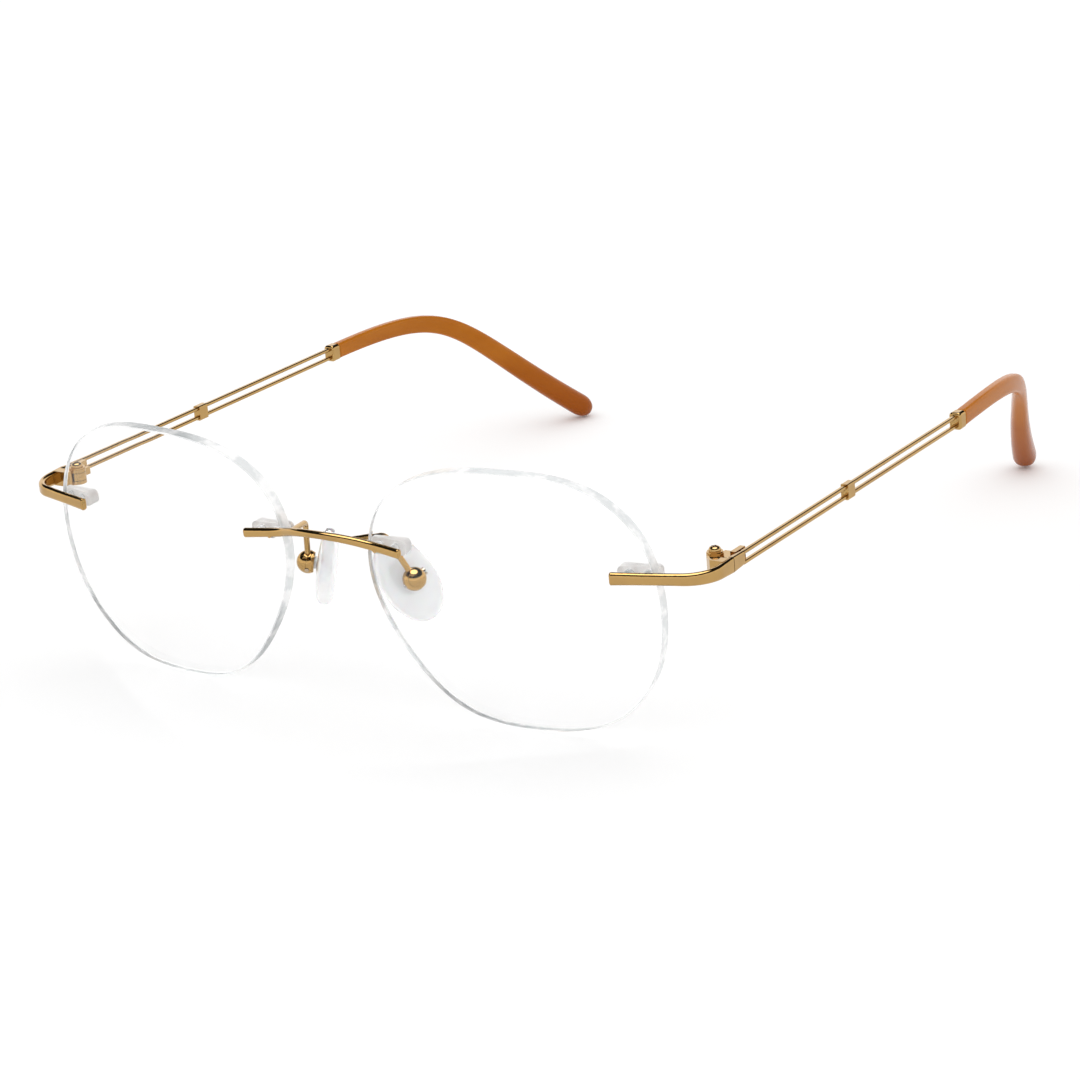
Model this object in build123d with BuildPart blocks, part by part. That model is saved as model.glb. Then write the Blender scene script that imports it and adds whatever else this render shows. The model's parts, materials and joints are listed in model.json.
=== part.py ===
from build123d import *
import os
from math import cos, radians, sin, sqrt

# Rimless eyeglasses, standing open on the lower lens edges and the temple tips.
# +Z is up, the wearer looks along -Y, and the wearer's left is +X. Millimetres.
# Every piece of a pair is drawn on the wearer's left; the right one is its mirror image in X.
# The pieces are drawn with the lens fronts at y = 0. The last section moves them so that the
# origin is at the middle of the whole object's footprint, on the surface that it stands on.

os.makedirs("parts", exist_ok=True)

# ---- lenses
LENS_WIDTH = 50.0  # boxed width of one lens
LENS_HEIGHT = 42.5  # boxed height of one lens
LENS_THICKNESS = 2.1
LENS_FRONT_RADIUS = 120.0  # convex front face of the plano lens
LENS_RIM_REACH = 23.5  # where the front face meets the lens plane, from the lens centre
LENS_BEVEL = 0.2  # safety bevel round both faces
BRIDGE_GAP = 16.0  # between the outlines of the two lenses, each in its own lens plane
FACE_WRAP = 5.7  # each lens turns this many degrees back towards its temple
FACE_TILT = 4.3  # the tops of the lenses lean this many degrees forward
# outline in halves of the boxed size: (towards the temple, up), from its top and back to it
LENS_OUTLINE = [
    (0.06, 1.00),
    (-0.51, 0.93),
    (-0.88, 0.65),
    (-1.00, 0.20),
    (-0.77, -0.51),
    (-0.42, -0.90),
    (0.06, -1.00),
    (0.57, -0.90),
    (0.92, -0.46),
    (1.00, -0.06),
    (0.88, 0.60),
    (0.60, 0.89),
]
LENS_TOP_SLOPE = (-1, 0)  # the outline runs level through its top

# ---- the drilled mounts that hold the metal on the lenses
SEAT_GAP = 0.03  # between the lens and a bar or sleeve that is ground to fit it
PIN_DIAMETER = 0.9
PIN_FIT = 0.03  # radial, pin in sleeve and sleeve in lens
PIN_PITCH = 3.0
SLEEVE_WALL = 0.22
SLEEVE_WIDTH = 6.8
SLEEVE_HEIGHT = 2.3
SLEEVE_DEPTH = 1.7
SLEEVE_CORNER = 0.77  # seen from behind
SLEEVE_ROUND = 0.5
BARREL_SHORT = 0.5  # the barrels stop inside the lens, whose front slopes away
MOUNT_INSET = 3.6  # from the lens edge to the middle of a pin pair
END_MOUNT_RISE = 6.2  # above the middle of the lens
BRIDGE_MOUNT_RISE = 6.8

# ---- end pieces
BAR_THICKNESS = 1.15
BAR_HEIGHT = 2.05
BAR_ROUND = 0.54
BAR_END_ROUND = 0.25
BAR_OVERLAP = 7.2  # how far the bar reaches over the lens
BAR_SINK = 0.12  # how much of the bar's back is ground away over the lens
KNEE_BEYOND = 0.5  # where the bar starts to turn, past the lens edge
KNEE_RADIUS = 12.0
CORNER_SETBACK = 7.2  # the corner's place, ahead of the parting line
CORNER_RADIUS = 5.5
PLATE_HEIGHT = 2.5  # where the end piece meets the temple
PLATE_ROUND = 0.38
PARTING_GAP = 0.12
BLOCK_LENGTH = 1.7  # thick inner part of the end piece that carries the ears
BLOCK_RAMP = 1.2
BLOCK_EDGE = 0.2  # how far the block reaches inside the hinge axis

# ---- hinges
HINGE_INSET = 3.3  # from the temple's middle plane in to the hinge axis
HINGE_SETBACK = 1.0  # from the parting line back to the hinge axis
KNUCKLE_DIAMETER = 2.7
KNUCKLE_GAP = 0.08
EAR_THICKNESS = 0.55
HINGE_CLEAR = 0.3  # between the knuckle and the end piece's block
SCREW_DIAMETER = 1.0
SCREW_FIT = 0.03  # radial
SCREW_HEAD_DIAMETER = 1.9
SCREW_HEAD_HEIGHT = 0.75
SCREW_HEAD_ROUND = 0.55
SCREW_SLOT = 0.28
SCREW_CROSS = 1.15  # across the cross-shaped recess in the hinge screw's head
SCREW_TAIL = 0.15  # how far the screw shows under the lower ear
WASHER_DIAMETER = 2.5
WASHER_THICKNESS = 0.25
LEAF_LENGTH = 3.0
ROOT_HEIGHT = 2.3
ROOT_DEPTH = 0.9

# ---- temples
TEMPLE_BEYOND = 7.25  # from the lens's outer edge out to the temple's middle plane
PARTING_SETBACK = 6.63  # from the lens's outer edge back to the parting line
TOE_IN = 0.75  # degrees
TEMPLE_PLATE_LENGTH = 3.4
TEMPLE_HEIGHT = 2.2  # over both rails
RAIL_HEIGHT = 0.6
RAIL_THICKNESS = 0.85
RAIL_ROUND = 0.24
RAIL_FIT = 0.02  # round a rail in the crosspiece and the ferrule
CROSSPIECE_AT = 37.0  # its middle, from the parting line
CROSSPIECE_LENGTH = 2.2
CROSSPIECE_HEIGHT = 2.6
CROSSPIECE_THICKNESS = 1.35
FERRULE_AT = 74.4  # its front face, from the parting line
FERRULE_LENGTH = 1.9
FERRULE_HEIGHT = 2.95
FERRULE_THICKNESS = 2.2
FERRULE_ROUND = 0.6
FERRULE_FRONT_ROUND = 0.4
RAIL_GRIP = 1.0  # how deep the rails go into the ferrule

# ---- temple tips
TIP_GAP = 0.1
TIP_HEIGHTS = (2.75, 4.25)  # at the ferrule and at the end
TIP_THICKNESSES = (1.95, 4.4)
TIP_SWELL = 2.5  # power of the thickening, which comes mostly near the end
TIP_ROUNDS = (0.55, 1.4)
TIP_SECTIONS = 9
TIP_CAP = 0.03  # share of the tip's length that its rounded end takes
TIP_CAP_TURNS = (30, 55, 75)  # degrees round the end
TIP_FIRST_HANDLE = (-2.5, 37.5, 0.9)  # of the tip's curve, from its start: out, back, up
TIP_SECOND_HANDLE = (-5.9, 28.6, -4.2)
TIP_END_INSET = 17.0
TIP_REACH = 56.8
TIP_REST = 0.88  # end of the tip's curve, above z = 0
CORE_DIAMETER = 0.9
CORE_LENGTH = 6.0
CORE_FIT = 0.03

# ---- bridge
BRIDGE_OVERLAP = 6.8
BRIDGE_THICKNESS = 1.15
BRIDGE_HEIGHT = 1.55
BRIDGE_WAIST = (1.2, 1.25)  # height and thickness in the middle
BRIDGE_ARCH_RISE = 2.45  # above the rails
BRIDGE_ARCH_Y = -5.0
BRIDGE_EDGE_INSET = 0.4
BRIDGE_EDGE_RISE = 0.55

# ---- nose pads and their arms
PAD_BOX_AT = (2.6, 6.3)  # middle of the pad box from the lens's inner edge: out, back
PAD_BOX_BELOW = 7.1  # under the rails
PAD_OUTWARD = (0.842, -0.504, 0.194)  # away from the nose, square to the pad
PAD_DOWN = (0.371, 0.278, -0.886)  # along the pad
PAD_TOP_RADIUS = 4.2
PAD_BOTTOM_RADIUS = 4.5
PAD_SPREAD = 6.5  # between the centres of the two rounds
PAD_THICKNESS = 3.1
PAD_ROUND = 1.4
PAD_ROUND_SHARE = 0.46  # of the thickness, at most
PAD_STANDOFF = 3.1  # from the middle of the box to the middle of the pad
PAD_DROP = 0.15
BOX_DIAMETER = 3.8
BOX_FLAT = 1.0
TAB_THICKNESS = 0.9
TAB_RADIUS = 0.95
TAB_GAP = 0.1
TAB_SWING = 0.35
ANCHOR_LENGTH = 6.4  # plate buried in the pad
ANCHOR_WIDTH = 4.2
ANCHOR_THICKNESS = 0.5
ANCHOR_FIT = 0.02
PAD_SCREW_DIAMETER = 0.7
PAD_SCREW_FIT = 0.03
PAD_SCREW_HEAD = 1.3
PAD_SCREW_HEAD_LENGTH = 0.65
PAD_SCREW_SEAT = 1.45
PAD_SCREW_END = 2.0
ARM_DIAMETER = 0.95
ARM_START_INSIDE = 2.4  # from the lens's inner edge in to the wire's foot on the bridge
ARM_BEND_AT = (0.0, 3.3)  # from the lens's inner edge: out, back
ARM_BEND_RISE = 0.8  # above the rails
ARM_RADIUS = 1.6

# ---- planes and places worked out from the sizes above
wrap = radians(FACE_WRAP)
tilt = radians(FACE_TILT)
inner_edge = BRIDGE_GAP / 2
lens_x = inner_edge + LENS_WIDTH / 2 * cos(wrap)
lens_z = LENS_HEIGHT / 2 * cos(tilt)
lens_facing = Vector(sin(wrap) * cos(tilt), -cos(wrap) * cos(tilt), -sin(tilt))
LENS = Plane(origin=(lens_x, 0, lens_z), x_dir=(cos(wrap), sin(wrap), 0), z_dir=lens_facing)
LENS_AXIS = Axis(LENS.origin, LENS.z_dir)
lens_back_radius = LENS_FRONT_RADIUS - LENS_THICKNESS
curve_depth = sqrt(LENS_FRONT_RADIUS**2 - LENS_RIM_REACH**2)
curve_centre = LENS.from_local_coords((0, 0, -curve_depth))
through = LENS_THICKNESS + SLEEVE_DEPTH + BAR_THICKNESS
pin_bore = PIN_DIAMETER + 2 * PIN_FIT
sleeve_barrel = pin_bore + 2 * SLEEVE_WALL
lens_bore = sleeve_barrel + 2 * PIN_FIT
end_mount = (LENS_WIDTH / 2 - MOUNT_INSET, END_MOUNT_RISE)
bridge_mount = (MOUNT_INSET - LENS_WIDTH / 2, BRIDGE_MOUNT_RISE)

rail_z = lens_z + END_MOUNT_RISE
temple_x = inner_edge + LENS_WIDTH * cos(wrap) + TEMPLE_BEYOND
parting_y = LENS_WIDTH * sin(wrap) + PARTING_SETBACK
TEMPLE = Plane(origin=(temple_x, parting_y, rail_z)).rotated((0, 0, TOE_IN))
HINGE = Plane(origin=TEMPLE.from_local_coords((-HINGE_INSET, HINGE_SETBACK, 0)))
rail_offset = (TEMPLE_HEIGHT - RAIL_HEIGHT) / 2
middle_half = PLATE_HEIGHT / 2 - EAR_THICKNESS

pad_out = Vector(*PAD_OUTWARD).normalized()
pad_box = Vector(inner_edge + PAD_BOX_AT[0], PAD_BOX_AT[1], rail_z - PAD_BOX_BELOW)
PAD = Plane(origin=pad_box, x_dir=Vector(*PAD_DOWN).cross(pad_out) * -1, z_dir=pad_out)
PAD_SIDE = Plane(origin=pad_box, x_dir=PAD.y_dir, z_dir=PAD.x_dir)

pieces = {}


def keep_pair(piece, name):
    """Store the wearer's left piece under its name, and its mirror image."""
    pieces["left_" + name] = piece.part
    pieces["right_" + name] = mirror(piece.part, about=Plane.YZ)


def front_depth(across, up):
    """How far the lens's front face stands before the lens plane at a place on it."""
    return sqrt(LENS_FRONT_RADIUS**2 - across**2 - up**2) - curve_depth


def over_lens(across, up, thickness):
    """The middle of a bar of this thickness that lies on the lens's front face."""
    return LENS.from_local_coords((across, up, front_depth(across, up) + thickness / 2 - BAR_SINK))


def pin_places(mount):
    """The two pin places of a mount, in the lens plane."""
    return Locations((mount[0] - PIN_PITCH / 2, mount[1]), (mount[0] + PIN_PITCH / 2, mount[1]))


def across_path(path, place):
    """The plane square to a path at a place from 0 to 1, with its X direction upright."""
    along = path % place
    level = along.cross(Vector(0, 0, 1))
    return Plane(origin=path @ place, x_dir=level.cross(along), z_dir=along)


def lens_blank(extra):
    """The undrilled lens, thicker by extra on each face."""
    with BuildPart() as body:
        with BuildSketch(LENS):
            with BuildLine():
                points = [(a * LENS_WIDTH / 2, b * LENS_HEIGHT / 2) for a, b in LENS_OUTLINE]
                Spline(
                    *points, points[0], tangents=[LENS_TOP_SLOPE] * 2, tangent_scalars=[1, 1]
                )
            make_face()
        extrude(amount=through, both=True)
        with Locations(curve_centre):
            Sphere(LENS_FRONT_RADIUS + extra, mode=Mode.INTERSECT)
            Sphere(lens_back_radius - extra, mode=Mode.SUBTRACT)
    return body.part


def mount_pins(mount, thickness):
    """The pair of pins from the middle of a bar, through the lens, into its sleeve."""
    depth = front_depth(*mount)
    length = LENS_THICKNESS + SLEEVE_DEPTH + thickness / 2 - PIN_FIT
    with BuildPart() as body:
        with BuildSketch(LENS.offset(depth + thickness / 2 - BAR_SINK)):
            with pin_places(mount):
                Circle(PIN_DIAMETER / 2)
        extrude(amount=-length)
    return body.part


# ---- lens: a curved blank, bevelled and drilled
with BuildPart() as lens:
    add(lens_blank(0))
    chamfer(lens.edges(), length=LENS_BEVEL)
    with BuildSketch(LENS):
        for mount in (end_mount, bridge_mount):
            with pin_places(mount):
                Circle(lens_bore / 2)
    extrude(amount=through, both=True, mode=Mode.SUBTRACT)
keep_pair(lens, "lens")

lens_seat = lens_blank(SEAT_GAP)

# ---- sleeves: a clear rounded plate behind the lens, with two barrels in the drilled holes
for mount, name in ((end_mount, "end_sleeve"), (bridge_mount, "bridge_sleeve")):
    front_face = front_depth(*mount)
    rear_face = front_face - LENS_THICKNESS - SLEEVE_DEPTH
    with BuildPart() as sleeve:
        with BuildSketch(LENS.offset(rear_face)):
            with Locations(mount):
                RectangleRounded(SLEEVE_WIDTH, SLEEVE_HEIGHT, SLEEVE_CORNER)
        extrude(amount=2 * SLEEVE_DEPTH)
        with Locations(curve_centre):
            Sphere(lens_back_radius - SEAT_GAP, mode=Mode.INTERSECT)
        fillet(sleeve.faces().sort_by(LENS_AXIS)[0].edges(), radius=SLEEVE_ROUND)
        with BuildSketch(LENS.offset(rear_face + SLEEVE_DEPTH / 2)):
            with pin_places(mount):
                Circle(sleeve_barrel / 2)
        extrude(amount=SLEEVE_DEPTH / 2 + LENS_THICKNESS - BARREL_SHORT)
        with BuildSketch(LENS):
            with pin_places(mount):
                Circle(pin_bore / 2)
        extrude(amount=2 * through, both=True, mode=Mode.SUBTRACT)
    keep_pair(sleeve, name)

# ---- bridge: one bar that lies on both lenses and arches up and forward between them
bridge_middle = Vector(0, BRIDGE_ARCH_Y, rail_z + BRIDGE_ARCH_RISE)
bridge_edge = over_lens(
    BRIDGE_EDGE_INSET - LENS_WIDTH / 2, BRIDGE_MOUNT_RISE + BRIDGE_EDGE_RISE, BRIDGE_THICKNESS
)
bridge_end = over_lens(BRIDGE_OVERLAP - LENS_WIDTH / 2, BRIDGE_MOUNT_RISE, BRIDGE_THICKNESS)
bridge_slope = (bridge_end - bridge_edge).normalized()
with BuildPart() as bridge:
    with BuildLine() as bridge_path:
        Spline(bridge_middle, bridge_edge, bridge_end, tangents=(Vector(1, 0, 0), bridge_slope))
    for place, height, thickness in ((0, *BRIDGE_WAIST), (1, BRIDGE_HEIGHT, BRIDGE_THICKNESS)):
        with BuildSketch(across_path(bridge_path.line, place)):
            RectangleRounded(height, thickness, BAR_ROUND)
    sweep(multisection=True)
    fillet(bridge.faces().sort_by(Axis.X)[-1].edges(), radius=BAR_END_ROUND)
    add(lens_seat, mode=Mode.SUBTRACT)
    add(mount_pins(bridge_mount, BRIDGE_THICKNESS))
    mirror(about=Plane.YZ)
pieces["bridge"] = bridge.part

# ---- end piece: a bar on the lens, a corner, a deepening plate, and the block with two ears
bar_start = over_lens(LENS_WIDTH / 2 - BAR_OVERLAP, END_MOUNT_RISE, BAR_THICKNESS)
bar_knee = over_lens(LENS_WIDTH / 2 + KNEE_BEYOND, END_MOUNT_RISE, BAR_THICKNESS)
bar_corner = TEMPLE.from_local_coords((0, -CORNER_SETBACK, 0))
bar_end = TEMPLE.from_local_coords((0, -PARTING_GAP, 0))
block_end = HINGE.origin.Y - KNUCKLE_DIAMETER / 2 - HINGE_CLEAR
block_inner = HINGE.origin.X - BLOCK_EDGE
with BuildPart() as end_piece:
    with BuildLine() as bar_path:
        FilletPolyline(bar_start, bar_knee, bar_corner, bar_end, radius=(KNEE_RADIUS, CORNER_RADIUS))
    corner_start = 1 - CORNER_SETBACK / bar_path.wire().length
    for place, height, corner in (
        (0, BAR_HEIGHT, BAR_ROUND), (corner_start, BAR_HEIGHT, BAR_ROUND), (1, PLATE_HEIGHT, PLATE_ROUND)
    ):
        with BuildSketch(across_path(bar_path.line, place)):
            RectangleRounded(height, BAR_THICKNESS, corner)
    sweep(multisection=True)
    fillet(end_piece.faces().sort_by(Axis.X)[0].edges(), radius=BAR_END_ROUND)
    with BuildSketch(Plane.XY.offset(rail_z - PLATE_HEIGHT / 2)):
        with BuildLine():
            Polyline(
                (block_inner, block_end),
                (temple_x, block_end),
                (temple_x, block_end - BLOCK_LENGTH),
                (block_inner + BLOCK_RAMP, block_end - BLOCK_LENGTH),
                (block_inner, block_end - BLOCK_LENGTH + BLOCK_RAMP),
                close=True,
            )
        make_face()
    extrude(amount=PLATE_HEIGHT)
    for level in (-PLATE_HEIGHT / 2, middle_half):
        with BuildSketch(HINGE.offset(level)):
            Circle(KNUCKLE_DIAMETER / 2)
            with Locations((-BLOCK_EDGE, 0)):
                Rectangle(
                    BLOCK_EDGE + KNUCKLE_DIAMETER / 2,
                    HINGE.origin.Y - block_end,
                    align=(Align.MIN, Align.MAX),
                )
        extrude(amount=EAR_THICKNESS)
    with BuildSketch(HINGE):
        Circle(SCREW_DIAMETER / 2 + SCREW_FIT)
    extrude(amount=PLATE_HEIGHT, both=True, mode=Mode.SUBTRACT)
    add(lens_seat, mode=Mode.SUBTRACT)
    add(mount_pins(end_mount, BAR_THICKNESS))
keep_pair(end_piece, "end_piece")

# ---- hinge leaf: the middle knuckle and the root that is soldered inside the temple plate
leaf_half = middle_half - KNUCKLE_GAP
plate_inner = -BAR_THICKNESS / 2
with BuildPart() as hinge_leaf:
    with BuildSketch(TEMPLE.offset(-leaf_half)):
        with Locations((-HINGE_INSET, HINGE_SETBACK)):
            Circle(KNUCKLE_DIAMETER / 2)
            Rectangle(HINGE_INSET + plate_inner, LEAF_LENGTH, align=(Align.MIN, Align.MIN))
    extrude(amount=2 * leaf_half)
    with BuildSketch(TEMPLE.offset(-ROOT_HEIGHT / 2)):
        with Locations((plate_inner, HINGE_SETBACK + KNUCKLE_DIAMETER / 2)):
            Rectangle(ROOT_DEPTH, LEAF_LENGTH, align=(Align.MAX, Align.MIN))
    extrude(amount=ROOT_HEIGHT)
    with BuildSketch(HINGE):
        Circle(SCREW_DIAMETER / 2 + SCREW_FIT)
    extrude(amount=PLATE_HEIGHT, both=True, mode=Mode.SUBTRACT)
keep_pair(hinge_leaf, "hinge_leaf")

# ---- hinge washer and screw
with BuildPart() as hinge_washer:
    with BuildSketch(HINGE.offset(PLATE_HEIGHT / 2)):
        Circle(WASHER_DIAMETER / 2)
        Circle(SCREW_DIAMETER / 2 + SCREW_FIT, mode=Mode.SUBTRACT)
    extrude(amount=WASHER_THICKNESS)
keep_pair(hinge_washer, "hinge_washer")

head_base = PLATE_HEIGHT / 2 + WASHER_THICKNESS
with BuildPart() as hinge_screw:
    with BuildSketch(HINGE.offset(head_base)):
        Circle(SCREW_HEAD_DIAMETER / 2)
    extrude(amount=SCREW_HEAD_HEIGHT)
    fillet(hinge_screw.faces().sort_by(Axis.Z)[-1].edges(), radius=SCREW_HEAD_ROUND)
    with BuildSketch(HINGE.offset(head_base + SCREW_HEAD_HEIGHT)):
        Rectangle(SCREW_CROSS, SCREW_SLOT)
        Rectangle(SCREW_SLOT, SCREW_CROSS)
    extrude(amount=-SCREW_SLOT, mode=Mode.SUBTRACT)
    with BuildSketch(HINGE.offset(-PLATE_HEIGHT / 2 - SCREW_TAIL)):
        Circle(SCREW_DIAMETER / 2)
    extrude(amount=head_base + PLATE_HEIGHT / 2 + SCREW_TAIL)
keep_pair(hinge_screw, "hinge_screw")


def temple_section(at):
    """The upright plane across the temple, this far behind the parting line."""
    return Plane(origin=TEMPLE.from_local_coords((0, at, 0)), x_dir=(0, 0, 1), z_dir=TEMPLE.y_dir)


# ---- temple plate: the flat part that butts against the end piece
with BuildPart() as temple_plate:
    with BuildSketch(temple_section(0)):
        RectangleRounded(PLATE_HEIGHT, BAR_THICKNESS, PLATE_ROUND)
    with BuildSketch(temple_section(TEMPLE_PLATE_LENGTH)):
        RectangleRounded(TEMPLE_HEIGHT, RAIL_THICKNESS, PLATE_ROUND)
    loft()
keep_pair(temple_plate, "temple_plate")

# ---- rails: two slim bars, one above the other, from the plate into the ferrule
rail_end = FERRULE_AT + RAIL_GRIP
for name, level in (("upper_rail", rail_offset), ("lower_rail", -rail_offset)):
    with BuildPart() as rail:
        with BuildSketch(temple_section(TEMPLE_PLATE_LENGTH)):
            with Locations((level, 0)):
                RectangleRounded(RAIL_HEIGHT, RAIL_THICKNESS, RAIL_ROUND)
        extrude(amount=rail_end - TEMPLE_PLATE_LENGTH)
    keep_pair(rail, name)


def rail_channels(at, length):
    """Clearance holes for both rails, from a place behind the parting line."""
    with BuildPart() as body:
        with BuildSketch(temple_section(at)):
            with Locations((rail_offset, 0), (-rail_offset, 0)):
                RectangleRounded(
                    RAIL_HEIGHT + 2 * RAIL_FIT, RAIL_THICKNESS + 2 * RAIL_FIT, RAIL_ROUND + RAIL_FIT
                )
        extrude(amount=length)
    return body.part


# ---- crosspiece that ties the rails halfway, and the ferrule at their rear ends
with BuildPart() as crosspiece:
    with BuildSketch(temple_section(CROSSPIECE_AT - CROSSPIECE_LENGTH / 2)):
        RectangleRounded(CROSSPIECE_HEIGHT, CROSSPIECE_THICKNESS, RAIL_ROUND)
    extrude(amount=CROSSPIECE_LENGTH)
    add(rail_channels(CROSSPIECE_AT - CROSSPIECE_LENGTH, 2 * CROSSPIECE_LENGTH), mode=Mode.SUBTRACT)
keep_pair(crosspiece, "crosspiece")

with BuildPart() as ferrule:
    with BuildSketch(temple_section(FERRULE_AT)):
        RectangleRounded(FERRULE_HEIGHT, FERRULE_THICKNESS, FERRULE_ROUND)
    extrude(amount=FERRULE_LENGTH)
    fillet(ferrule.faces().sort_by(Axis.Y)[0].edges(), radius=FERRULE_FRONT_ROUND)
    add(rail_channels(FERRULE_AT - RAIL_GRIP, 2 * RAIL_GRIP + RAIL_FIT), mode=Mode.SUBTRACT)
keep_pair(ferrule, "ferrule")

# ---- core: the metal stub that the tip is pushed onto
core_start = FERRULE_AT + FERRULE_LENGTH
with BuildPart() as tip_core:
    with BuildSketch(temple_section(core_start)):
        Circle(CORE_DIAMETER / 2)
    extrude(amount=CORE_LENGTH)
keep_pair(tip_core, "tip_core")

# ---- tip: rounded sections along one curve that bends down behind the ear and leans in
tip_start = TEMPLE.from_local_coords((0, core_start + TIP_GAP, 0))
tip_end = Vector(tip_start.X - TIP_END_INSET, tip_start.Y + TIP_REACH, TIP_REST)
tip_handles = [tip_start + Vector(*handle) for handle in (TIP_FIRST_HANDLE, TIP_SECOND_HANDLE)]
tip_sections = [(number / (TIP_SECTIONS - 1) * (1 - TIP_CAP), 1) for number in range(TIP_SECTIONS)]
for turn in TIP_CAP_TURNS:
    tip_sections.append((1 - TIP_CAP * (1 - sin(radians(turn))), cos(radians(turn))))
with BuildPart() as temple_tip:
    with BuildLine() as tip_path:
        Bezier(tip_start, *tip_handles, tip_end)
    for place, scale in tip_sections:
        height, thickness, corner = (
            (first + (last - first) * place**power) * scale
            for (first, last), power in (
                (TIP_HEIGHTS, 1), (TIP_THICKNESSES, TIP_SWELL), (TIP_ROUNDS, 1)
            )
        )
        with BuildSketch(across_path(tip_path.line, place)):
            RectangleRounded(height, thickness, corner)
    loft()
    with BuildSketch(temple_section(core_start)):
        Circle(CORE_DIAMETER / 2 + CORE_FIT)
    extrude(amount=CORE_LENGTH + CORE_FIT, mode=Mode.SUBTRACT)
keep_pair(temple_tip, "temple_tip")

# ---- pad box: a small ball, flat and slotted towards the pad, drilled for its cross screw
with BuildPart() as pad_box_ball:
    with Locations(pad_box):
        Sphere(BOX_DIAMETER / 2)
    with BuildSketch(PAD.offset(-BOX_FLAT)):
        Circle(BOX_DIAMETER)
    extrude(amount=-BOX_DIAMETER, mode=Mode.SUBTRACT)
    with BuildSketch(PAD.offset(-BOX_FLAT)):
        Rectangle(TAB_THICKNESS + 2 * TAB_GAP, 2 * (TAB_RADIUS + TAB_SWING))
    extrude(amount=BOX_FLAT + TAB_RADIUS + TAB_GAP, mode=Mode.SUBTRACT)
    with BuildSketch(PAD_SIDE):
        Circle(PAD_SCREW_DIAMETER / 2 + PAD_SCREW_FIT)
    extrude(amount=BOX_DIAMETER, both=True, mode=Mode.SUBTRACT)
    with BuildSketch(PAD_SIDE.offset(PAD_SCREW_SEAT)):
        Circle(PAD_SCREW_HEAD / 2 + PAD_SCREW_FIT)
    extrude(amount=BOX_DIAMETER, mode=Mode.SUBTRACT)
keep_pair(pad_box_ball, "pad_box")

# ---- pad screw: the slotted pin that the pad rocks on
with BuildPart() as pad_screw:
    with BuildSketch(PAD_SIDE.offset(-PAD_SCREW_END)):
        Circle(PAD_SCREW_DIAMETER / 2)
    extrude(amount=PAD_SCREW_END + PAD_SCREW_SEAT)
    with BuildSketch(PAD_SIDE.offset(PAD_SCREW_SEAT)):
        Circle(PAD_SCREW_HEAD / 2)
    extrude(amount=PAD_SCREW_HEAD_LENGTH)
    with BuildSketch(PAD_SIDE.offset(PAD_SCREW_SEAT + PAD_SCREW_HEAD_LENGTH)):
        Rectangle(SCREW_SLOT, PAD_SCREW_HEAD)
    extrude(amount=-SCREW_SLOT, mode=Mode.SUBTRACT)
keep_pair(pad_screw, "pad_screw")


def anchor(extra):
    """The pad's inner plate and the tab that reaches into the box, larger by extra all round."""
    with BuildPart() as body:
        with BuildSketch(PAD.offset(-PAD_STANDOFF - ANCHOR_THICKNESS / 2 - extra)):
            SlotOverall(ANCHOR_LENGTH + 2 * extra, ANCHOR_WIDTH + 2 * extra, rotation=90)
        extrude(amount=ANCHOR_THICKNESS + 2 * extra)
        with BuildSketch(PAD_SIDE):
            Circle(TAB_RADIUS + extra)
            with Locations((0, -PAD_STANDOFF / 2)):
                Rectangle(2 * (TAB_RADIUS + extra), PAD_STANDOFF)
        extrude(amount=TAB_THICKNESS / 2 + extra, both=True)
    return body.part


with BuildPart() as pad_anchor:
    add(anchor(0))
    with BuildSketch(PAD_SIDE):
        Circle(PAD_SCREW_DIAMETER / 2 + PAD_SCREW_FIT)
    extrude(amount=TAB_THICKNESS, both=True, mode=Mode.SUBTRACT)
keep_pair(pad_anchor, "pad_anchor")

# ---- nose pad: soft drop shape moulded round the anchor plate
with BuildPart() as nose_pad:
    with BuildSketch(PAD.offset(-PAD_STANDOFF - PAD_THICKNESS / 2)):
        with Locations((0, PAD_SPREAD / 2 - PAD_DROP)):
            Circle(PAD_TOP_RADIUS)
        with Locations((0, -PAD_SPREAD / 2 - PAD_DROP)):
            Circle(PAD_BOTTOM_RADIUS)
        make_hull()
    extrude(amount=PAD_THICKNESS)
    fillet(nose_pad.edges(), radius=min(PAD_ROUND, PAD_ROUND_SHARE * PAD_THICKNESS))
    add(anchor(ANCHOR_FIT), mode=Mode.SUBTRACT)
keep_pair(nose_pad, "nose_pad")

# ---- pad arm: a wire from the back of the bridge, over and down to the pad box
arm_start = bridge_path.line @ ((inner_edge - ARM_START_INSIDE) / bridge_end.X)
arm_bend = Vector(inner_edge + ARM_BEND_AT[0], ARM_BEND_AT[1], rail_z + ARM_BEND_RISE)
with BuildPart() as pad_arm:
    with BuildLine() as arm_path:
        FilletPolyline(arm_start, arm_bend, pad_box, radius=ARM_RADIUS)
    with BuildSketch(across_path(arm_path.line, 0)):
        Circle(ARM_DIAMETER / 2)
    sweep()
    add(bridge.part, mode=Mode.SUBTRACT)
    with Locations(pad_box):
        Sphere(BOX_DIAMETER / 2, mode=Mode.SUBTRACT)
keep_pair(pad_arm, "pad_arm")

# ---- put the origin under the middle of the whole object and write every piece
whole = Compound(children=[Compound(part.wrapped) for part in pieces.values()]).bounding_box()
to_origin = Vector(-whole.center().X, -whole.center().Y, -whole.min.Z)
for name, part in pieces.items():
    placed = part.moved(Location(to_origin))
    placed.label = name
    export_step(placed, f"parts/{name}.step")

print("overall size", whole.size)
for name, place in (
    ("left hinge axis", HINGE.origin),
    ("left pad axis", pad_box),
    ("lens middle", LENS.origin),
    ("temple plane", TEMPLE.origin),
    ("tip end", tip_end),
):
    print(name, place + to_origin)
print("pad axis direction", PAD.x_dir, "lens facing", LENS.z_dir)
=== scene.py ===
"""Finishes of rimless eyeglasses: polished gold, clear lenses, silicone nose pads and amber tips."""

import json
import math

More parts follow.
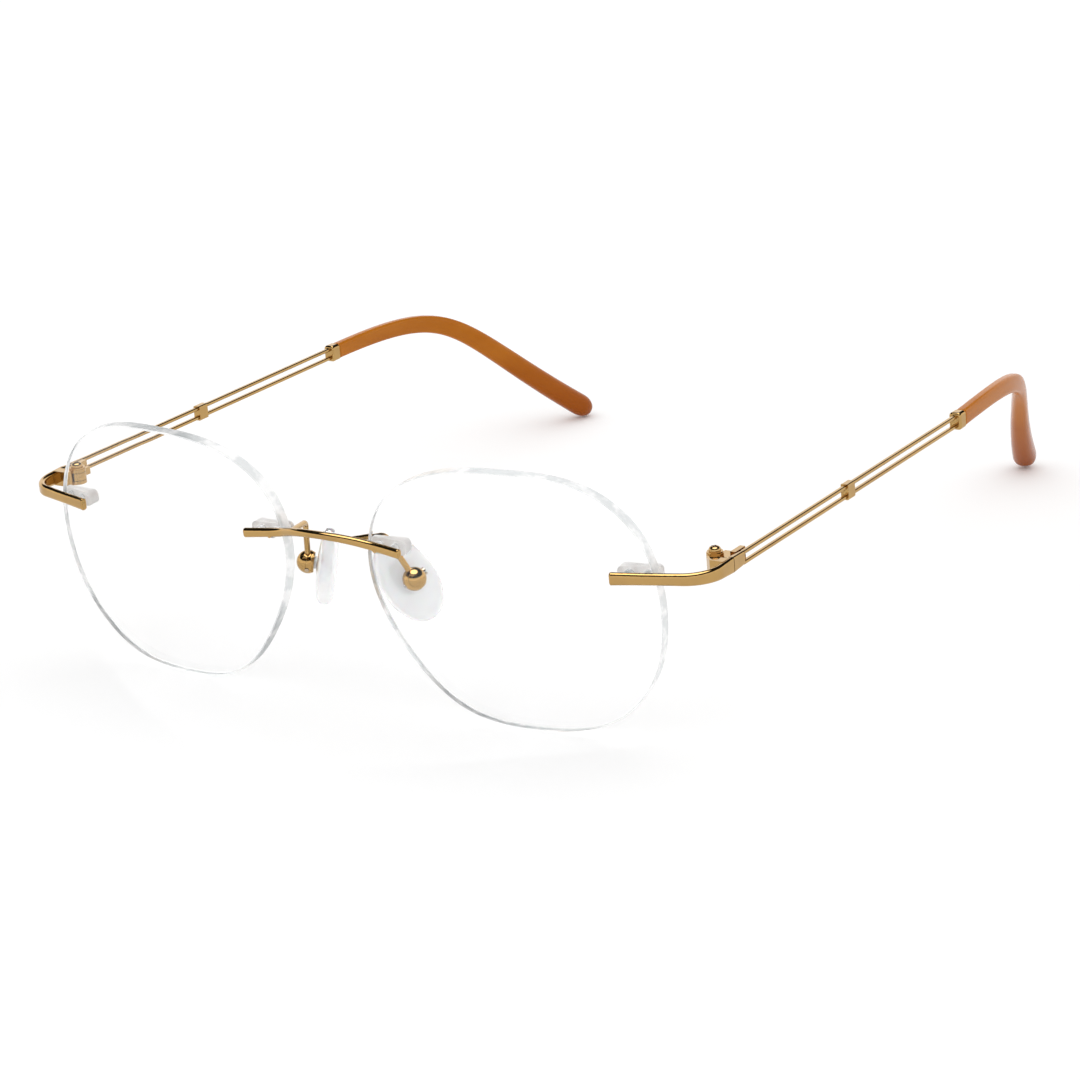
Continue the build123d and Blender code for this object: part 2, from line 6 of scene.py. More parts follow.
import bpy
import numpy as np
from mathutils import Matrix, Vector


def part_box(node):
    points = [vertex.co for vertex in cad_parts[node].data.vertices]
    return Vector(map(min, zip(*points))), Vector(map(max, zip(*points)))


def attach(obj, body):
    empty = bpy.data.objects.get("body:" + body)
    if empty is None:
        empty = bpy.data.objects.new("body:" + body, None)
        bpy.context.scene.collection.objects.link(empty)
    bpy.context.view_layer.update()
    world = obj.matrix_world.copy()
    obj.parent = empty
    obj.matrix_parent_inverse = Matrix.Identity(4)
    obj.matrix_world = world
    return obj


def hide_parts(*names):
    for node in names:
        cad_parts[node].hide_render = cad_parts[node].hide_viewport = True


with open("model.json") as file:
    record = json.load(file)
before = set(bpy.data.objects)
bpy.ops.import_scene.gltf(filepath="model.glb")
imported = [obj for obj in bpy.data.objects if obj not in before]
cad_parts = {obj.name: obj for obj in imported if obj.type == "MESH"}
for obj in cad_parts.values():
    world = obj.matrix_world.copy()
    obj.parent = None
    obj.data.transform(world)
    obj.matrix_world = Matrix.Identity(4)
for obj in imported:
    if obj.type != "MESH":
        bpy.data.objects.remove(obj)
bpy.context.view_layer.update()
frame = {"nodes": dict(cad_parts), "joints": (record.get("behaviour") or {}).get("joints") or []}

bl_info = {
    "name": "Rimless Eyeglasses",
    "version": (1, 0, 0),
    "blender": (4, 5, 0),
    "location": "View3D > Sidebar > Eyeglasses",
    "description": "Finishes, nose pads, temple tips and studio of rimless eyeglasses",
    "category": "Object",
}

MM = 0.001
SIDES = (("left", 1), ("right", -1))
GOLD_PARTS = ("end_piece", "hinge_leaf", "hinge_washer", "temple_plate", "upper_rail", "lower_rail",
              "crosspiece", "ferrule", "tip_core", "pad_box", "pad_arm")
SLEEVE_PARTS = ("end_sleeve", "bridge_sleeve")

# ---- fixed values of the finishes
WHITE = (1, 1, 1, 1)
POLISH_DEPTH = 0.004 * MM  # of the polishing lines and pits
GRIND_DEPTH = 0.01 * MM  # of the ground lens edge
FLOW_DEPTH = 0.02 * MM  # of the marks in moulded pieces
GRAIN_DEPTH = 0.01 * MM  # of the acetate's skin
EDGE_FADE = (0.02 * MM, 0.12 * MM)  # from a lens face into the ground edge
LENS_IOR = 1.3
PLASTIC_IOR = 1.46
SILICONE_IOR = 1.41
LENS_SHADOW = 0.98  # share of light that passes
PLASTIC_SHADOW = 0.8
SILICONE_SHADOW = 0.75
DEEP_AMBER_REACH = 0.9  # share of the tip's height over which the deep tone fades out
SCREW_DULLER = 0.05  # roughness added to the polish
STEEL_DULLER = 0.08
SLEEVE_ROUGHNESS = 0.28
ANCHOR_ROUGHNESS = 0.15

# ---- fixed values of the stage
FLOOR_COLOUR = (0.95, 0.95, 0.95, 1)
FLOOR_ROUGHNESS = 0.9
WALL_TOP = (0.36, 0.44)  # heights on the unit sphere of directions
SOFTBOX_EDGE = (0.86, 0.92)
SENSOR_WIDTH = 36  # millimetres
CLIP_START = 0.01


# ---- shader maths


class Scalar:
    """A number socket. Arithmetic on it adds Math nodes to its tree."""

    def __init__(self, shader, socket):
        self.shader, self.socket = shader, socket

    def math(self, operation, *values):
        """The result of a Math node on these values."""
        made = self.shader.node("ShaderNodeMath", {"operation": operation}, dict(enumerate(values)))
        return Scalar(self.shader, made.outputs[0])

    def __add__(self, other):
        return self.math("ADD", self, other)

    def __mul__(self, other):
        return self.math("MULTIPLY", self, other)

    def __sub__(self, other):
        return self.math("SUBTRACT", self, other)

    def __rsub__(self, other):
        return self.math("SUBTRACT", other, self)

    __radd__ = __add__
    __rmul__ = __mul__

    def step(self, low, high):
        """0 up to low, 1 from high, smooth between them."""
        made = self.shader.node(
            "ShaderNodeMapRange", {"interpolation_type": "SMOOTHSTEP"}, {0: self, 1: low, 2: high}
        )
        return Scalar(self.shader, made.outputs[0])


class Shader:
    """A node tree that is filled by one method."""

    def __init__(self, owner):
        owner.use_nodes = True
        self.owner, self.tree = owner, owner.node_tree
        self.tree.nodes.clear()

    def node(self, kind, settings=None, inputs=None):
        """A node of this kind, with its settings first and then its sockets' values or links."""
        made = self.tree.nodes.new(kind)
        for name, value in (settings or {}).items():
            setattr(made, name, value)
        for name, value in (inputs or {}).items():
            source = value.socket if isinstance(value, Scalar) else value
            if isinstance(source, bpy.types.NodeSocket):
                self.tree.links.new(source, made.inputs[name])
            else:
                made.inputs[name].default_value = source
        return made

    def place(self):
        """The Object coordinates of the surface."""
        return self.node("ShaderNodeTexCoord").outputs["Object"]

    def axes(self, vector):
        """The three numbers of a vector."""
        split = self.node("ShaderNodeSeparateXYZ", None, {0: vector})
        return [Scalar(self, socket) for socket in split.outputs]

    def noise(self, scale, detail=2.0, stretch=(1, 1, 1)):
        """Noise from 0 to 1 over Object coordinates, drawn out along an axis by a small stretch."""
        scaled = self.node("ShaderNodeMapping", None, {"Vector": self.place(), "Scale": stretch})
        made = self.node(
            "ShaderNodeTexNoise", None, {"Vector": scaled.outputs[0], "Scale": scale, "Detail": detail}
        )
        return Scalar(self, made.outputs["Fac"])

    def blend(self, amount, first, second):
        """A colour between two colours."""
        made = self.node(
            "ShaderNodeMix", {"data_type": "RGBA"}, {"Factor": amount, 6: first, 7: second}
        )
        return made.outputs[2]

    def bump(self, height, depth, strength=1.0):
        """A normal from a height between 0 and 1, which stands for this depth."""
        return self.node(
            "ShaderNodeBump", None, {"Height": height, "Distance": depth, "Strength": strength}
        ).outputs[0]

    def output(self, surface):
        """Ends a material in this surface and returns the material."""
        self.node("ShaderNodeOutputMaterial", None, {"Surface": surface})
        return self.owner


def colour(values):
    """A property's colour as a shader's colour, opaque."""
    return (*values, 1.0)


def polished_metal(name, plating, worn, roughness):
    """Plated metal: faint polishing lines, soft tarnish in patches and tiny pits."""
    shader = Shader(bpy.data.materials.new(name))
    patches = shader.noise(160, 3)
    lines = shader.noise(900, 2, (1, 0.12, 1))
    pits = shader.noise(5200, 1)
    tone = shader.blend(patches.step(0.4, 0.75), colour(plating), colour(worn))
    surface = shader.node("ShaderNodeBsdfPrincipled", None, {
        "Base Color": tone,
        "Metallic": 1.0,
        "Roughness": roughness + patches * 0.05 + lines * 0.05,
        "Normal": shader.bump(lines * 0.6 + pits * 0.4, POLISH_DEPTH, 0.35),
    })
    return shader.output(surface.outputs[0])


def clear_shadow(shader, surface, tint):
    """Lets light pass through a clear piece, so that its shadow is faint."""
    seen = shader.node("ShaderNodeLightPath").outputs["Is Shadow Ray"]
    open_way = shader.node("ShaderNodeBsdfTransparent", None, {"Color": (tint, tint, tint, 1)})
    mixed = shader.node(
        "ShaderNodeMixShader", None, {0: seen, 1: surface.outputs[0], 2: open_way.outputs[0]}
    )
    return mixed.outputs[0]


def lens_glass(settings):
    """Clear lens. Between its two spherical faces, which have one centre, lies its ground edge:
    there the distance to that centre is under the front radius and over the back one. The edge is
    partly matt and streaked, so it scatters light where the faces only bend it."""
    shader = Shader(bpy.data.materials.new("lens_clear"))
    facing = Vector(settings.facing).normalized()
    depth = math.sqrt(settings.front_radius**2 - settings.rim_reach**2)
    centre = Vector(settings.middle) - facing * depth
    x, y, z = shader.axes(shader.place())
    across, back, up = x.math("ABSOLUTE", x) - centre.x, y - centre.y, z - centre.z
    radius = across * across + back * back + up * up
    radius = radius.math("SQRT", radius)
    inside_front = (settings.front_radius - radius).step(*EDGE_FADE)
    inside_back = (radius - (settings.front_radius - settings.thickness)).step(*EDGE_FADE)
    edge = inside_front * inside_back
    grinding = shader.noise(1400, 2)
    streaks = shader.noise(330, 3).step(0.42, 0.62)
    clear = shader.node("ShaderNodeBsdfPrincipled", None, {
        "Base Color": WHITE,
        "Roughness": edge * (0.1 + grinding * 0.15),
        "Normal": shader.bump(grinding * edge, GRIND_DEPTH, 0.5),
        "IOR": LENS_IOR,
        "Transmission Weight": 1.0,
    })
    matt = shader.node("ShaderNodeBsdfPrincipled", None, {
        "Base Color": shader.blend(streaks, colour(settings.edge_colour), WHITE),
        "Roughness": 0.4,
        "Normal": shader.bump(grinding, GRIND_DEPTH, 0.5),
    })
    surface = shader.node(
        "ShaderNodeMixShader", None,
        {0: edge * settings.edge_matt, 1: clear.outputs[0], 2: matt.outputs[0]}
    )
    return shader.output(clear_shadow(shader, surface, LENS_SHADOW))


def clear_plastic(name, tone, roughness):
    """Moulded clear plastic with faint flow marks."""
    shader = Shader(bpy.data.materials.new(name))
    flow = shader.noise(700, 3, (1, 0.4, 1))
    surface = shader.node("ShaderNodeBsdfPrincipled", None, {
        "Base Color": shader.blend(flow, colour(tone), WHITE),
        "Roughness": roughness + flow * 0.08,
        "Normal": shader.bump(flow, FLOW_DEPTH, 0.4),
        "IOR": PLASTIC_IOR,
        "Transmission Weight": 0.55,
    })
    return shader.output(clear_shadow(shader, surface, PLASTIC_SHADOW))


def silicone(settings):
    """Milky silicone: cloudy inside, with a soft skin that carries fine mould grain."""
    shader = Shader(bpy.data.materials.new("silicone_milky"))
    cloud = shader.noise(420, 4)
    grain = shader.noise(4200, 2)
    surface = shader.node("ShaderNodeBsdfPrincipled", None, {
        "Base Color": shader.blend(cloud.step(0.3, 0.8), colour(settings.clear), colour(settings.milk)),
        "Roughness": 0.14 + cloud * 0.12 + grain * 0.04,
        "Normal": shader.bump(grain * 0.5 + cloud * 0.5, FLOW_DEPTH, 0.4),
        "IOR": SILICONE_IOR,
        "Transmission Weight": 0.6,
        "Subsurface Weight": 0.4,
        "Subsurface Scale": 0.002,
    })
    return shader.output(clear_shadow(shader, surface, SILICONE_SHADOW))


def acetate(settings):
    """Amber acetate: drifting bands of tone, deeper towards the low end, under a glossy skin."""
    shader = Shader(bpy.data.materials.new("acetate_amber"))
    low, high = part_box("left_temple_tip")
    _, _, rise = shader.axes(shader.place())
    depth = 1 - rise.step(low.z, low.z + (high.z - low.z) * DEEP_AMBER_REACH)
    drift = shader.noise(130, 4, (1, 0.35, 1))
    specks = shader.noise(1500, 2)
    amber = shader.blend(drift.step(0.3, 0.75), colour(settings.light), colour(settings.middle))
    surface = shader.node("ShaderNodeBsdfPrincipled", None, {
        "Base Color": shader.blend(depth * 0.85 + specks * 0.1, amber, colour(settings.deep)),
        "Roughness": 0.16 + drift * 0.08 + specks * 0.04,
        "Normal": shader.bump(specks * 0.4 + drift * 0.6, GRAIN_DEPTH, 0.3),
        "Specular IOR Level": 0.12,
        "Subsurface Weight": 0.03,
        "Subsurface Scale": 0.0015,
        "Subsurface Radius": (1.0, 0.35, 0.08),
        "Coat Weight": 0.04,
        "Coat Roughness": 0.06,
    })
    return shader.output(surface.outputs[0])


# ---- surfaces


def closed_surface(name, rings, first_pole, last_pole, side):
    """A closed mesh from rings of points, [ring, point, xyz], with a pole at each end.
    The right-hand one is the mirror image in X, with its faces turned round."""
    count, around = rings.shape[:2]
    points = np.concatenate([rings.reshape(-1, 3), [first_pole, last_pole]])
    number = np.arange(count * around).reshape(count, around)
    after = np.roll(number, -1, axis=1)
    quads = np.stack([number[:-1], after[:-1], after[1:], number[1:]], -1).reshape(-1, 4)
    poles = np.full(around, count * around)
    front = np.stack([poles, after[0], number[0]], -1)
    back = np.stack([poles + 1, number[-1], after[-1]], -1)
    if side < 0:
        points = points * (-1, 1, 1)
        quads, front, back = quads[:, ::-1], front[:, ::-1], back[:, ::-1]
    mesh = bpy.data.meshes.new(name)
    mesh.from_pydata(points.tolist(), [], quads.tolist() + front.tolist() + back.tolist())
    mesh.validate()
    mesh.shade_smooth()
    piece = bpy.data.objects.new(name, mesh)
    bpy.context.scene.collection.objects.link(piece)
    return piece


def unit(vectors):
    """Each vector at length 1."""
    return vectors / np.linalg.norm(vectors, axis=-1, keepdims=True)


def power(values, exponent):
    """A power that keeps the sign."""
    return np.sign(values) * np.abs(values) ** exponent


def tip_rings(settings):
    """A rounded bar along a cubic Bezier curve: p(t) has Bernstein weights, and the section is
    (h cos^k a, w sin^k a). Height and squareness change evenly with t, and the width with a power
    of t, so the end swells. Over the last share of t it shrinks as a quarter circle."""
    low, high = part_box("left_tip_core")
    radius = (high.z - low.z) / 2
    start = np.array([high.x - radius, low.y + settings.gap, (low.z + high.z) / 2])
    handles = [start + np.array(offset) * MM for offset in (settings.first, settings.second)]
    end = np.array([start[0], start[1], 0]) + np.array(settings.end) * MM
    control = np.array([start, *handles, end])
    turn = np.linspace(0, math.pi / 2, settings.cap_rings + 1)[:-1]
    t = np.concatenate([np.linspace(0, 1 - settings.cap, settings.rings),
                        1 - settings.cap * (1 - np.sin(turn[1:]))])
    shrink = np.concatenate([np.ones(settings.rings), np.cos(turn[1:])])
    weights = np.stack([(1 - t) ** 3, 3 * t * (1 - t) ** 2, 3 * t**2 * (1 - t), t**3], -1)
    slopes = np.stack(
        [-3 * (1 - t) ** 2, 3 * (1 - t) * (1 - 3 * t), 3 * t * (2 - 3 * t), 3 * t**2], -1)
    middle, along = weights @ control, unit(slopes @ control)
    level = unit(np.cross(along, (0, 0, 1)))
    upright = np.cross(level, along)
    height, width = (
        (sizes[0] + (sizes[1] - sizes[0]) * t**swell) * MM / 2 * shrink
        for sizes, swell in ((settings.heights, 1), (settings.widths, settings.swell))
    )
    squareness = np.interp(t, (0, 1), settings.squareness)[:, None]
    angle = np.linspace(0, 2 * math.pi, settings.around, endpoint=False)[None]
    rise = power(np.cos(angle), squareness) * height[:, None]
    out = power(np.sin(angle), squareness) * width[:, None]
    rings = middle[:, None] + upright[:, None] * rise[..., None] + level[:, None] * out[..., None]
    return rings, middle[0], control[3]


def pad_rings(settings):
    """A drop: the outline is ((a + b sin p) cos p, c sin p), scaled by cos^k q towards both faces,
    which stand sin^k q from the middle. A low boss is added where the tab goes in."""
    joint = next(j for j in frame["joints"] if j["name"] == "left_pad_rock")
    side = unit(np.array(joint["axis"]))
    outward = unit(np.array(settings.outward))
    down = np.cross(side, outward)
    middle = np.array(joint["pos_m"]) - outward * settings.standoff + down * settings.drop
    q = np.linspace(-math.pi / 2, math.pi / 2, settings.rings + 2)[1:-1][:, None]
    p = np.linspace(0, 2 * math.pi, settings.around, endpoint=False)[None]
    inset = np.cos(q) ** settings.crown
    wide, narrow = settings.width / 2, settings.taper
    across = (wide + narrow * np.sin(p)) * np.cos(p) * inset
    along = settings.length / 2 * np.sin(p) * inset
    boss = settings.boss * np.exp(-(across**2 + along**2) / settings.boss_width**2) * (q > 0)
    proud = power(np.sin(q), settings.crown) * settings.thickness / 2 + boss
    rings = (middle + across[..., None] * side + along[..., None] * down + proud[..., None] * outward)
    half = outward * settings.thickness / 2
    return rings, middle - half, middle + half + outward * settings.boss


# ---- settings


class GoldSettings(bpy.types.PropertyGroup):
    plating: bpy.props.FloatVectorProperty(
        name="Plating", description="Colour of the gold plating", subtype="COLOR",
        default=(0.49, 0.305, 0.112), min=0, max=1)
    worn: bpy.props.FloatVectorProperty(
        name="Worn", description="Colour where handling has dulled the plating", subtype="COLOR",
        default=(0.43, 0.265, 0.1), min=0, max=1)
    steel: bpy.props.FloatVectorProperty(
        name="Steel", description="Colour of the bare pad screws", subtype="COLOR",
        default=(0.5, 0.47, 0.43), min=0, max=1)
    roughness: bpy.props.FloatProperty(
        name="Roughness", description="Roughness of the polish", default=0.04, min=0, max=1)


class LensSettings(bpy.types.PropertyGroup):
    front_radius: bpy.props.FloatProperty(
        name="Front radius", description="Radius of the lens's front face", default=120 * MM, unit="LENGTH")
    thickness: bpy.props.FloatProperty(
        name="Thickness", description="Thickness of the lens", default=2.1 * MM, unit="LENGTH")
    rim_reach: bpy.props.FloatProperty(
        name="Rim reach", description="Where the front face meets the lens plane, from the middle",
        default=23.5 * MM, unit="LENGTH")
    middle: bpy.props.FloatVectorProperty(
        name="Middle", description="Middle of the left lens plane", subtype="TRANSLATION", unit="LENGTH",
        default=(32.8764 * MM, -69.9302 * MM, 21.2109 * MM))
    facing: bpy.props.FloatVectorProperty(
        name="Facing", description="Way that the left lens faces", subtype="DIRECTION",
        default=(0.09904, -0.992255, -0.074979))
    edge_colour: bpy.props.FloatVectorProperty(
        name="Edge colour", description="Colour of the ground edge", subtype="COLOR",
        default=(0.66, 0.69, 0.7), min=0, max=1)
    edge_matt: bpy.props.FloatProperty(
        name="Edge matt", description="Share of the ground edge that scatters light", default=0.6,
        min=0, max=1)
    sleeve_colour: bpy.props.FloatVectorProperty(
        name="Sleeve colour", description="Colour of the clear sleeves", subtype="COLOR",
        default=(0.76, 0.73, 0.71), min=0, max=1)


class PadSettings(bpy.types.PropertyGroup):
    outward: bpy.props.FloatVectorProperty(
        name="Outward", description="Way from the left pad to its box", subtype="DIRECTION",
        default=(0.842, -0.504, 0.194))
    standoff: bpy.props.FloatProperty(
        name="Standoff", description="Middle of the pad from its axis", default=3.1 * MM, unit="LENGTH")
    drop: bpy.props.FloatProperty(
        name="Drop", description="Middle of the pad along the pad", default=0.3 * MM, unit="LENGTH")
    length: bpy.props.FloatProperty(
        name="Length", description="Length of the pad", default=15.1 * MM, unit="LENGTH")
    width: bpy.props.FloatProperty(
        name="Width", description="Width of the pad at its middle", default=9.0 * MM, unit="LENGTH")
    taper: bpy.props.FloatProperty(
        name="Taper", description="Half width lost at the narrow end", default=0.25 * MM, unit="LENGTH")
    thickness: bpy.props.FloatProperty(
        name="Thickness", description="Thickness of the pad", default=3.1 * MM, unit="LENGTH")
    crown: bpy.props.FloatProperty(
        name="Crown", description="Power of the rounded edge, 1 for an ellipse", default=0.55)
    boss: bpy.props.FloatProperty(
        name="Boss", description="Height of the boss round the tab", default=0.3 * MM, unit="LENGTH")
    boss_width: bpy.props.FloatProperty(
        name="Boss width", description="Reach of the boss", default=1.5 * MM, unit="LENGTH")
    clear: bpy.props.FloatVectorProperty(
        name="Clear", description="Colour of the clear silicone", subtype="COLOR",
        default=(0.88, 0.89, 0.9), min=0, max=1)
    milk: bpy.props.FloatVectorProperty(
        name="Milk", description="Colour of the cloudy silicone", subtype="COLOR",
        default=(0.79, 0.8, 0.81), min=0, max=1)
    rings: bpy.props.IntProperty(name="Rings", description="Rings from face to face", default=40)
    around: bpy.props.IntProperty(name="Around", description="Points in a ring", default=120)


class TipSettings(bpy.types.PropertyGroup):
    first: bpy.props.FloatVectorProperty(
        name="First handle", description="From the start of the tip, in millimetres",
        default=(-2.5, 37.5, 0.9))
    second: bpy.props.FloatVectorProperty(
        name="Second handle", description="From the start of the tip, in millimetres",
        default=(-5.9, 28.6, -4.2))
    end: bpy.props.FloatVectorProperty(
        name="End", description="In and back from the start, and above the ground, in millimetres",
        default=(-17.0, 56.8, 0.901))
    gap: bpy.props.FloatProperty(
        name="Gap", description="Between the ferrule and the tip", default=0.1 * MM, unit="LENGTH")
    heights: bpy.props.FloatVectorProperty(
        name="Heights", description="At the ferrule and at the end, in millimetres", size=2,
        default=(2.75, 4.25))
    widths: bpy.props.FloatVectorProperty(
        name="Widths", description="At the ferrule and at the end, in millimetres", size=2,
        default=(1.95, 4.4))
    swell: bpy.props.FloatProperty(
        name="Swell", description="Power of the widening, which comes mostly near the end", default=2.5)
    squareness: bpy.props.FloatVectorProperty(
        name="Squareness", description="Power of the section, 1 for an ellipse", size=2,
        default=(0.45, 0.86))
    cap: bpy.props.FloatProperty(
        name="Cap", description="Share of the tip that its round end takes", default=0.03)
    light: bpy.props.FloatVectorProperty(
        name="Light", description="Lightest amber", subtype="COLOR",
        default=(0.47, 0.155, 0.01), min=0, max=1)
    middle: bpy.props.FloatVectorProperty(
        name="Middle", description="Middle amber", subtype="COLOR",
        default=(0.4, 0.118, 0.004), min=0, max=1)
    deep: bpy.props.FloatVectorProperty(
        name="Deep", description="Deepest amber", subtype="COLOR", default=(0.29, 0.06, 0.0), min=0, max=1)
    rings: bpy.props.IntProperty(name="Rings", description="Rings along the tip", default=180)
    cap_rings: bpy.props.IntProperty(name="Cap rings", description="Rings of the round end", default=12)
    around: bpy.props.IntProperty(name="Around", description="Points in a ring", default=96)


class StudioSettings(bpy.types.PropertyGroup):
    azimuth: bpy.props.FloatProperty(
        name="Azimuth", description="Camera round the glasses", default=math.radians(34.677), unit="ROTATION")
    elevation: bpy.props.FloatProperty(
        name="Elevation", description="Camera above the horizon", default=math.radians(18.7),
        unit="ROTATION")
    roll: bpy.props.FloatProperty(
        name="Roll", description="Camera about its own axis", default=math.radians(-4.746), unit="ROTATION")
    distance: bpy.props.FloatProperty(
        name="Distance", description="Camera from its aim", default=0.6, unit="LENGTH")
    aim: bpy.props.FloatVectorProperty(
        name="Aim", description="Place that the camera looks at", subtype="TRANSLATION", unit="LENGTH",
        default=(18.68 * MM, -40.785 * MM, 19.974 * MM))
    focal_length: bpy.props.FloatProperty(
        name="Focal length", description="Camera's focal length, on a 36 mm sensor", default=125.05)
    floor_size: bpy.props.FloatProperty(
        name="Floor size", description="Side of the floor", default=12.0, unit="LENGTH")
    horizon: bpy.props.FloatProperty(
        name="Horizon", description="Brightness of the walls", default=1.3, min=0)
    dark: bpy.props.FloatProperty(
        name="Dark", description="Brightness between the walls and the softbox", default=0.02, min=0)
    softbox: bpy.props.FloatProperty(
        name="Softbox", description="Brightness of the overhead softbox", default=3.8, min=0)
    ceiling_size: bpy.props.FloatProperty(
        name="Ceiling size", description="Side of the light that fills the shadows", default=12.0,
        unit="LENGTH")
    ceiling_height: bpy.props.FloatProperty(
        name="Ceiling height", description="Height of the light that fills the shadows", default=1.2,
        unit="LENGTH")
    ceiling: bpy.props.FloatProperty(
        name="Ceiling", description="Brightness of the light that fills the shadows", default=1.14, min=0)


# ---- operators


def assign(node, material):
    """Gives a CAD node this material in each of its slots."""
    slots = frame["nodes"][node].material_slots
    if not slots:
        frame["nodes"][node].data.materials.append(material)
    for place in slots:
        place.material = material


class EYEWEAR_OT_metal(bpy.types.Operator):
    """Plate the bridge, end pieces, hinges, temples, pad boxes and screws"""

    bl_idname = "eyewear.metal"
    bl_label = "Metal"

    def execute(self, context):
        settings = context.scene.eyewear_gold
        gold = polished_metal("gold_polished", settings.plating, settings.worn, settings.roughness)
        screw = polished_metal(
            "gold_screw", settings.plating, settings.steel, settings.roughness + SCREW_DULLER)
        steel = polished_metal(
            "steel_screw", settings.steel, settings.worn, settings.roughness + STEEL_DULLER)
        assign("bridge", gold)
        for side, _ in SIDES:
            for part in GOLD_PARTS:
                assign(f"{side}_{part}", gold)
            assign(f"{side}_hinge_screw", screw)
            assign(f"{side}_pad_screw", steel)
        return {"FINISHED"}


class EYEWEAR_OT_lenses(bpy.types.Operator):
    """Make the lenses and their sleeves clear"""

    bl_idname = "eyewear.lenses"
    bl_label = "Lenses and sleeves"

    def execute(self, context):
        settings = context.scene.eyewear_lens
        glass = lens_glass(settings)
        sleeve = clear_plastic("sleeve_clear", settings.sleeve_colour, SLEEVE_ROUGHNESS)
        for side, _ in SIDES:
            assign(f"{side}_lens", glass)
            for part in SLEEVE_PARTS:
                assign(f"{side}_{part}", sleeve)
        return {"FINISHED"}


class EYEWEAR_OT_nose_pads(bpy.types.Operator):
    """Mould the two silicone nose pads round their anchors"""

    bl_idname = "eyewear.nose_pads"
    bl_label = "Nose pads"

    def execute(self, context):
        settings = context.scene.eyewear_pad
        milky = silicone(settings)
        anchor = clear_plastic("anchor_clear", settings.milk, ANCHOR_ROUGHNESS)
        for side, sign in SIDES:
            pad = closed_surface(f"{side}_silicone_pad", *pad_rings(settings), sign)
            pad.data.materials.append(milky)
            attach(pad, f"{side}_pad")
            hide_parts(f"{side}_nose_pad")
            assign(f"{side}_pad_anchor", anchor)
        return {"FINISHED"}


class EYEWEAR_OT_temple_tips(bpy.types.Operator):
    """Shape the two acetate tips behind the ferrules"""

    bl_idname = "eyewear.temple_tips"
    bl_label = "Temple tips"

    def execute(self, context):
        settings = context.scene.eyewear_tip
        amber = acetate(settings)
        for side, sign in SIDES:
            tip = closed_surface(f"{side}_acetate_tip", *tip_rings(settings), sign)
            tip.data.materials.append(amber)
            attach(tip, f"{side}_temple")
            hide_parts(f"{side}_temple_tip")
        return {"FINISHED"}


class EYEWEAR_OT_stage(bpy.types.Operator):
    """Lay the floor, light the studio and set up the camera"""

    bl_idname = "eyewear.stage"
    bl_label = "Stage"

    def execute(self, context):
        settings = context.scene.eyewear_studio
        lay_floor(settings)
        light_studio(settings)
        place_camera(settings)
        context.scene.view_settings.view_transform = "Standard"
        return {"FINISHED"}


def lay_floor(settings):
    """A flat square at the height that the glasses stand on."""
    reach = settings.floor_size / 2
    corners = [(-reach, -reach, 0), (reach, -reach, 0), (reach, reach, 0), (-reach, reach, 0)]
    mesh = bpy.data.meshes.new("floor")
    mesh.from_pydata(corners, [], [(0, 1, 2, 3)])
    floor = bpy.data.objects.new("floor", mesh)
    bpy.context.scene.collection.objects.link(floor)
    shader = Shader(bpy.data.materials.new("floor_white"))
    surface = shader.node(
        "ShaderNodeBsdfPrincipled", None,
        {"Base Color": FLOOR_COLOUR, "Roughness": FLOOR_ROUGHNESS, "Specular IOR Level": 0.0})
    mesh.materials.append(shader.output(surface.outputs[0]))


def light_studio(settings):
    """White walls, a dark ring above them and a round softbox overhead, which only reflections and
    clear pieces see, and a wide ceiling light for the rest. Its power is pi times its radiance and
    area."""
    world = bpy.data.worlds.new("studio")
    bpy.context.scene.world = world
    shader = Shader(world)
    _, _, height = shader.axes(shader.node("ShaderNodeTexCoord").outputs["Generated"])
    walls = 1 - height.step(*WALL_TOP)
    softbox = height.step(*SOFTBOX_EDGE)
    strength = walls * settings.horizon + softbox * settings.softbox + settings.dark
    light = shader.node("ShaderNodeBackground", None, {"Color": WHITE, "Strength": strength})
    shader.node("ShaderNodeOutputWorld", None, {"Surface": light.outputs[0]})
    world.cycles_visibility.diffuse = False
    ceiling = bpy.data.lights.new("ceiling", "AREA")
    ceiling.size = settings.ceiling_size
    ceiling.energy = settings.ceiling * math.pi * settings.ceiling_size**2
    fill = bpy.data.objects.new("ceiling", ceiling)
    fill.location = (0, 0, settings.ceiling_height)
    fill.visible_camera = fill.visible_glossy = fill.visible_transmission = False
    bpy.context.scene.collection.objects.link(fill)


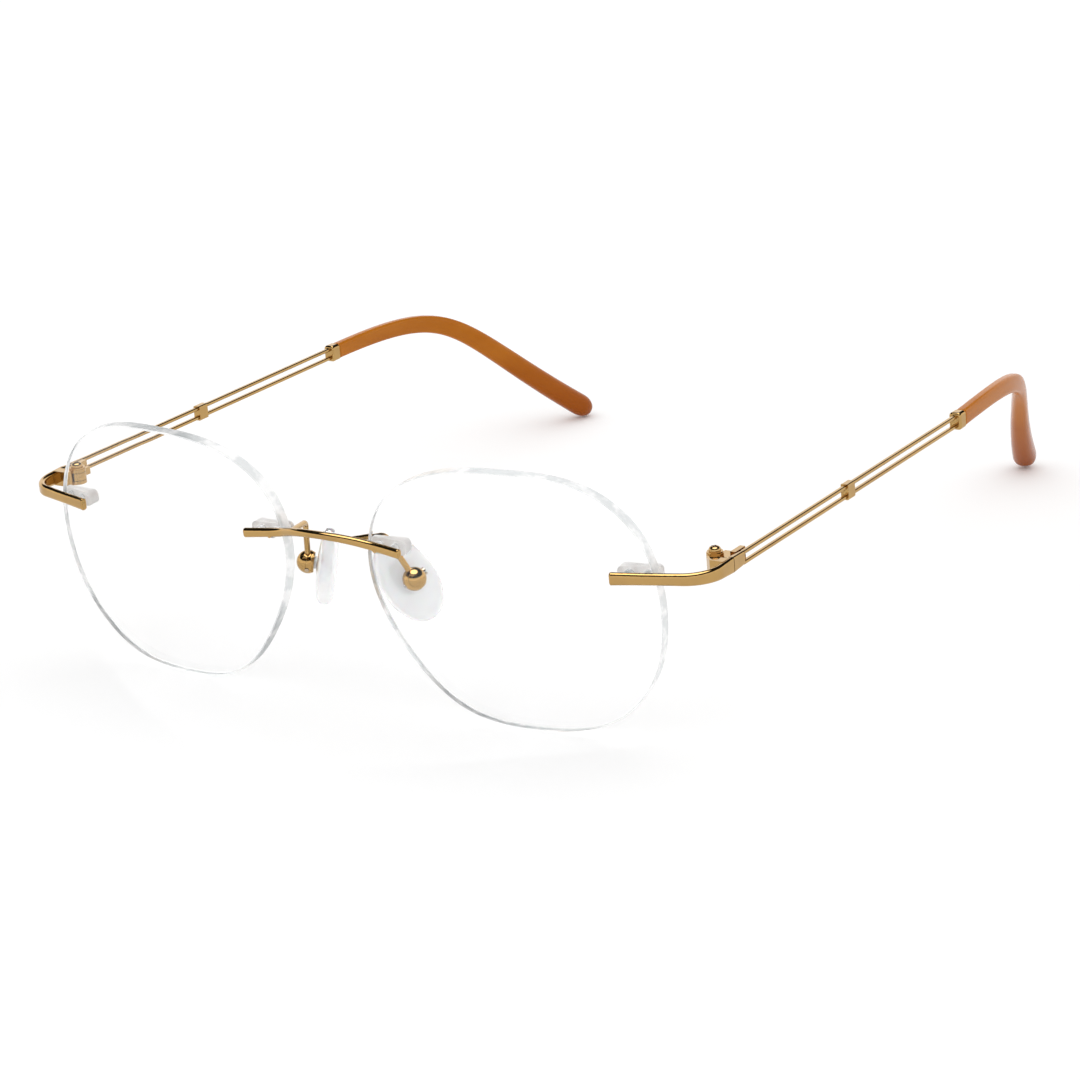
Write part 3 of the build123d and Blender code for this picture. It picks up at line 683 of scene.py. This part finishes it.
def place_camera(settings):
    """The camera stands back from its aim, turned by azimuth, elevation and roll."""
    az, el, roll = settings.azimuth, settings.elevation, settings.roll
    back = Vector((math.sin(az) * math.cos(el), -math.cos(az) * math.cos(el), math.sin(el)))
    right = Vector((math.cos(az), math.sin(az), 0))
    up = back.cross(right)
    turned_right = right * math.cos(roll) + up * math.sin(roll)
    turned_up = up * math.cos(roll) - right * math.sin(roll)
    camera = bpy.data.objects.new("camera", bpy.data.cameras.new("camera"))
    camera.data.sensor_width = SENSOR_WIDTH
    camera.data.lens = settings.focal_length
    camera.data.clip_start = CLIP_START
    turn = Matrix((turned_right, turned_up, back)).transposed().to_4x4()
    camera.matrix_world = Matrix.Translation(Vector(settings.aim) + back * settings.distance) @ turn
    bpy.context.scene.collection.objects.link(camera)
    bpy.context.scene.camera = camera


class EYEWEAR_PT_panel(bpy.types.Panel):
    """Buttons for each group of pieces"""

    bl_label = "Eyeglasses"
    bl_space_type = "VIEW_3D"
    bl_region_type = "UI"
    bl_category = "Eyeglasses"

    def draw(self, context):
        for operator in OPERATORS:
            self.layout.operator(operator.bl_idname)


OPERATORS = (EYEWEAR_OT_metal, EYEWEAR_OT_lenses, EYEWEAR_OT_nose_pads, EYEWEAR_OT_temple_tips,
             EYEWEAR_OT_stage)
SETTINGS = {
    "eyewear_gold": GoldSettings,
    "eyewear_lens": LensSettings,
    "eyewear_pad": PadSettings,
    "eyewear_tip": TipSettings,
    "eyewear_studio": StudioSettings,
}


def register():
    for kind in (*SETTINGS.values(), *OPERATORS, EYEWEAR_PT_panel):
        bpy.utils.register_class(kind)
    for name, group in SETTINGS.items():
        setattr(bpy.types.Scene, name, bpy.props.PointerProperty(type=group))


def unregister():
    for name in SETTINGS:
        delattr(bpy.types.Scene, name)
    for kind in reversed((*SETTINGS.values(), *OPERATORS, EYEWEAR_PT_panel)):
        bpy.utils.unregister_class(kind)


def main():
    """Builds everything in order."""
    register()
    bpy.ops.eyewear.metal()
    bpy.ops.eyewear.lenses()
    bpy.ops.eyewear.nose_pads()
    bpy.ops.eyewear.temple_tips()
    bpy.ops.eyewear.stage()


if __name__ == "__main__":
    main()
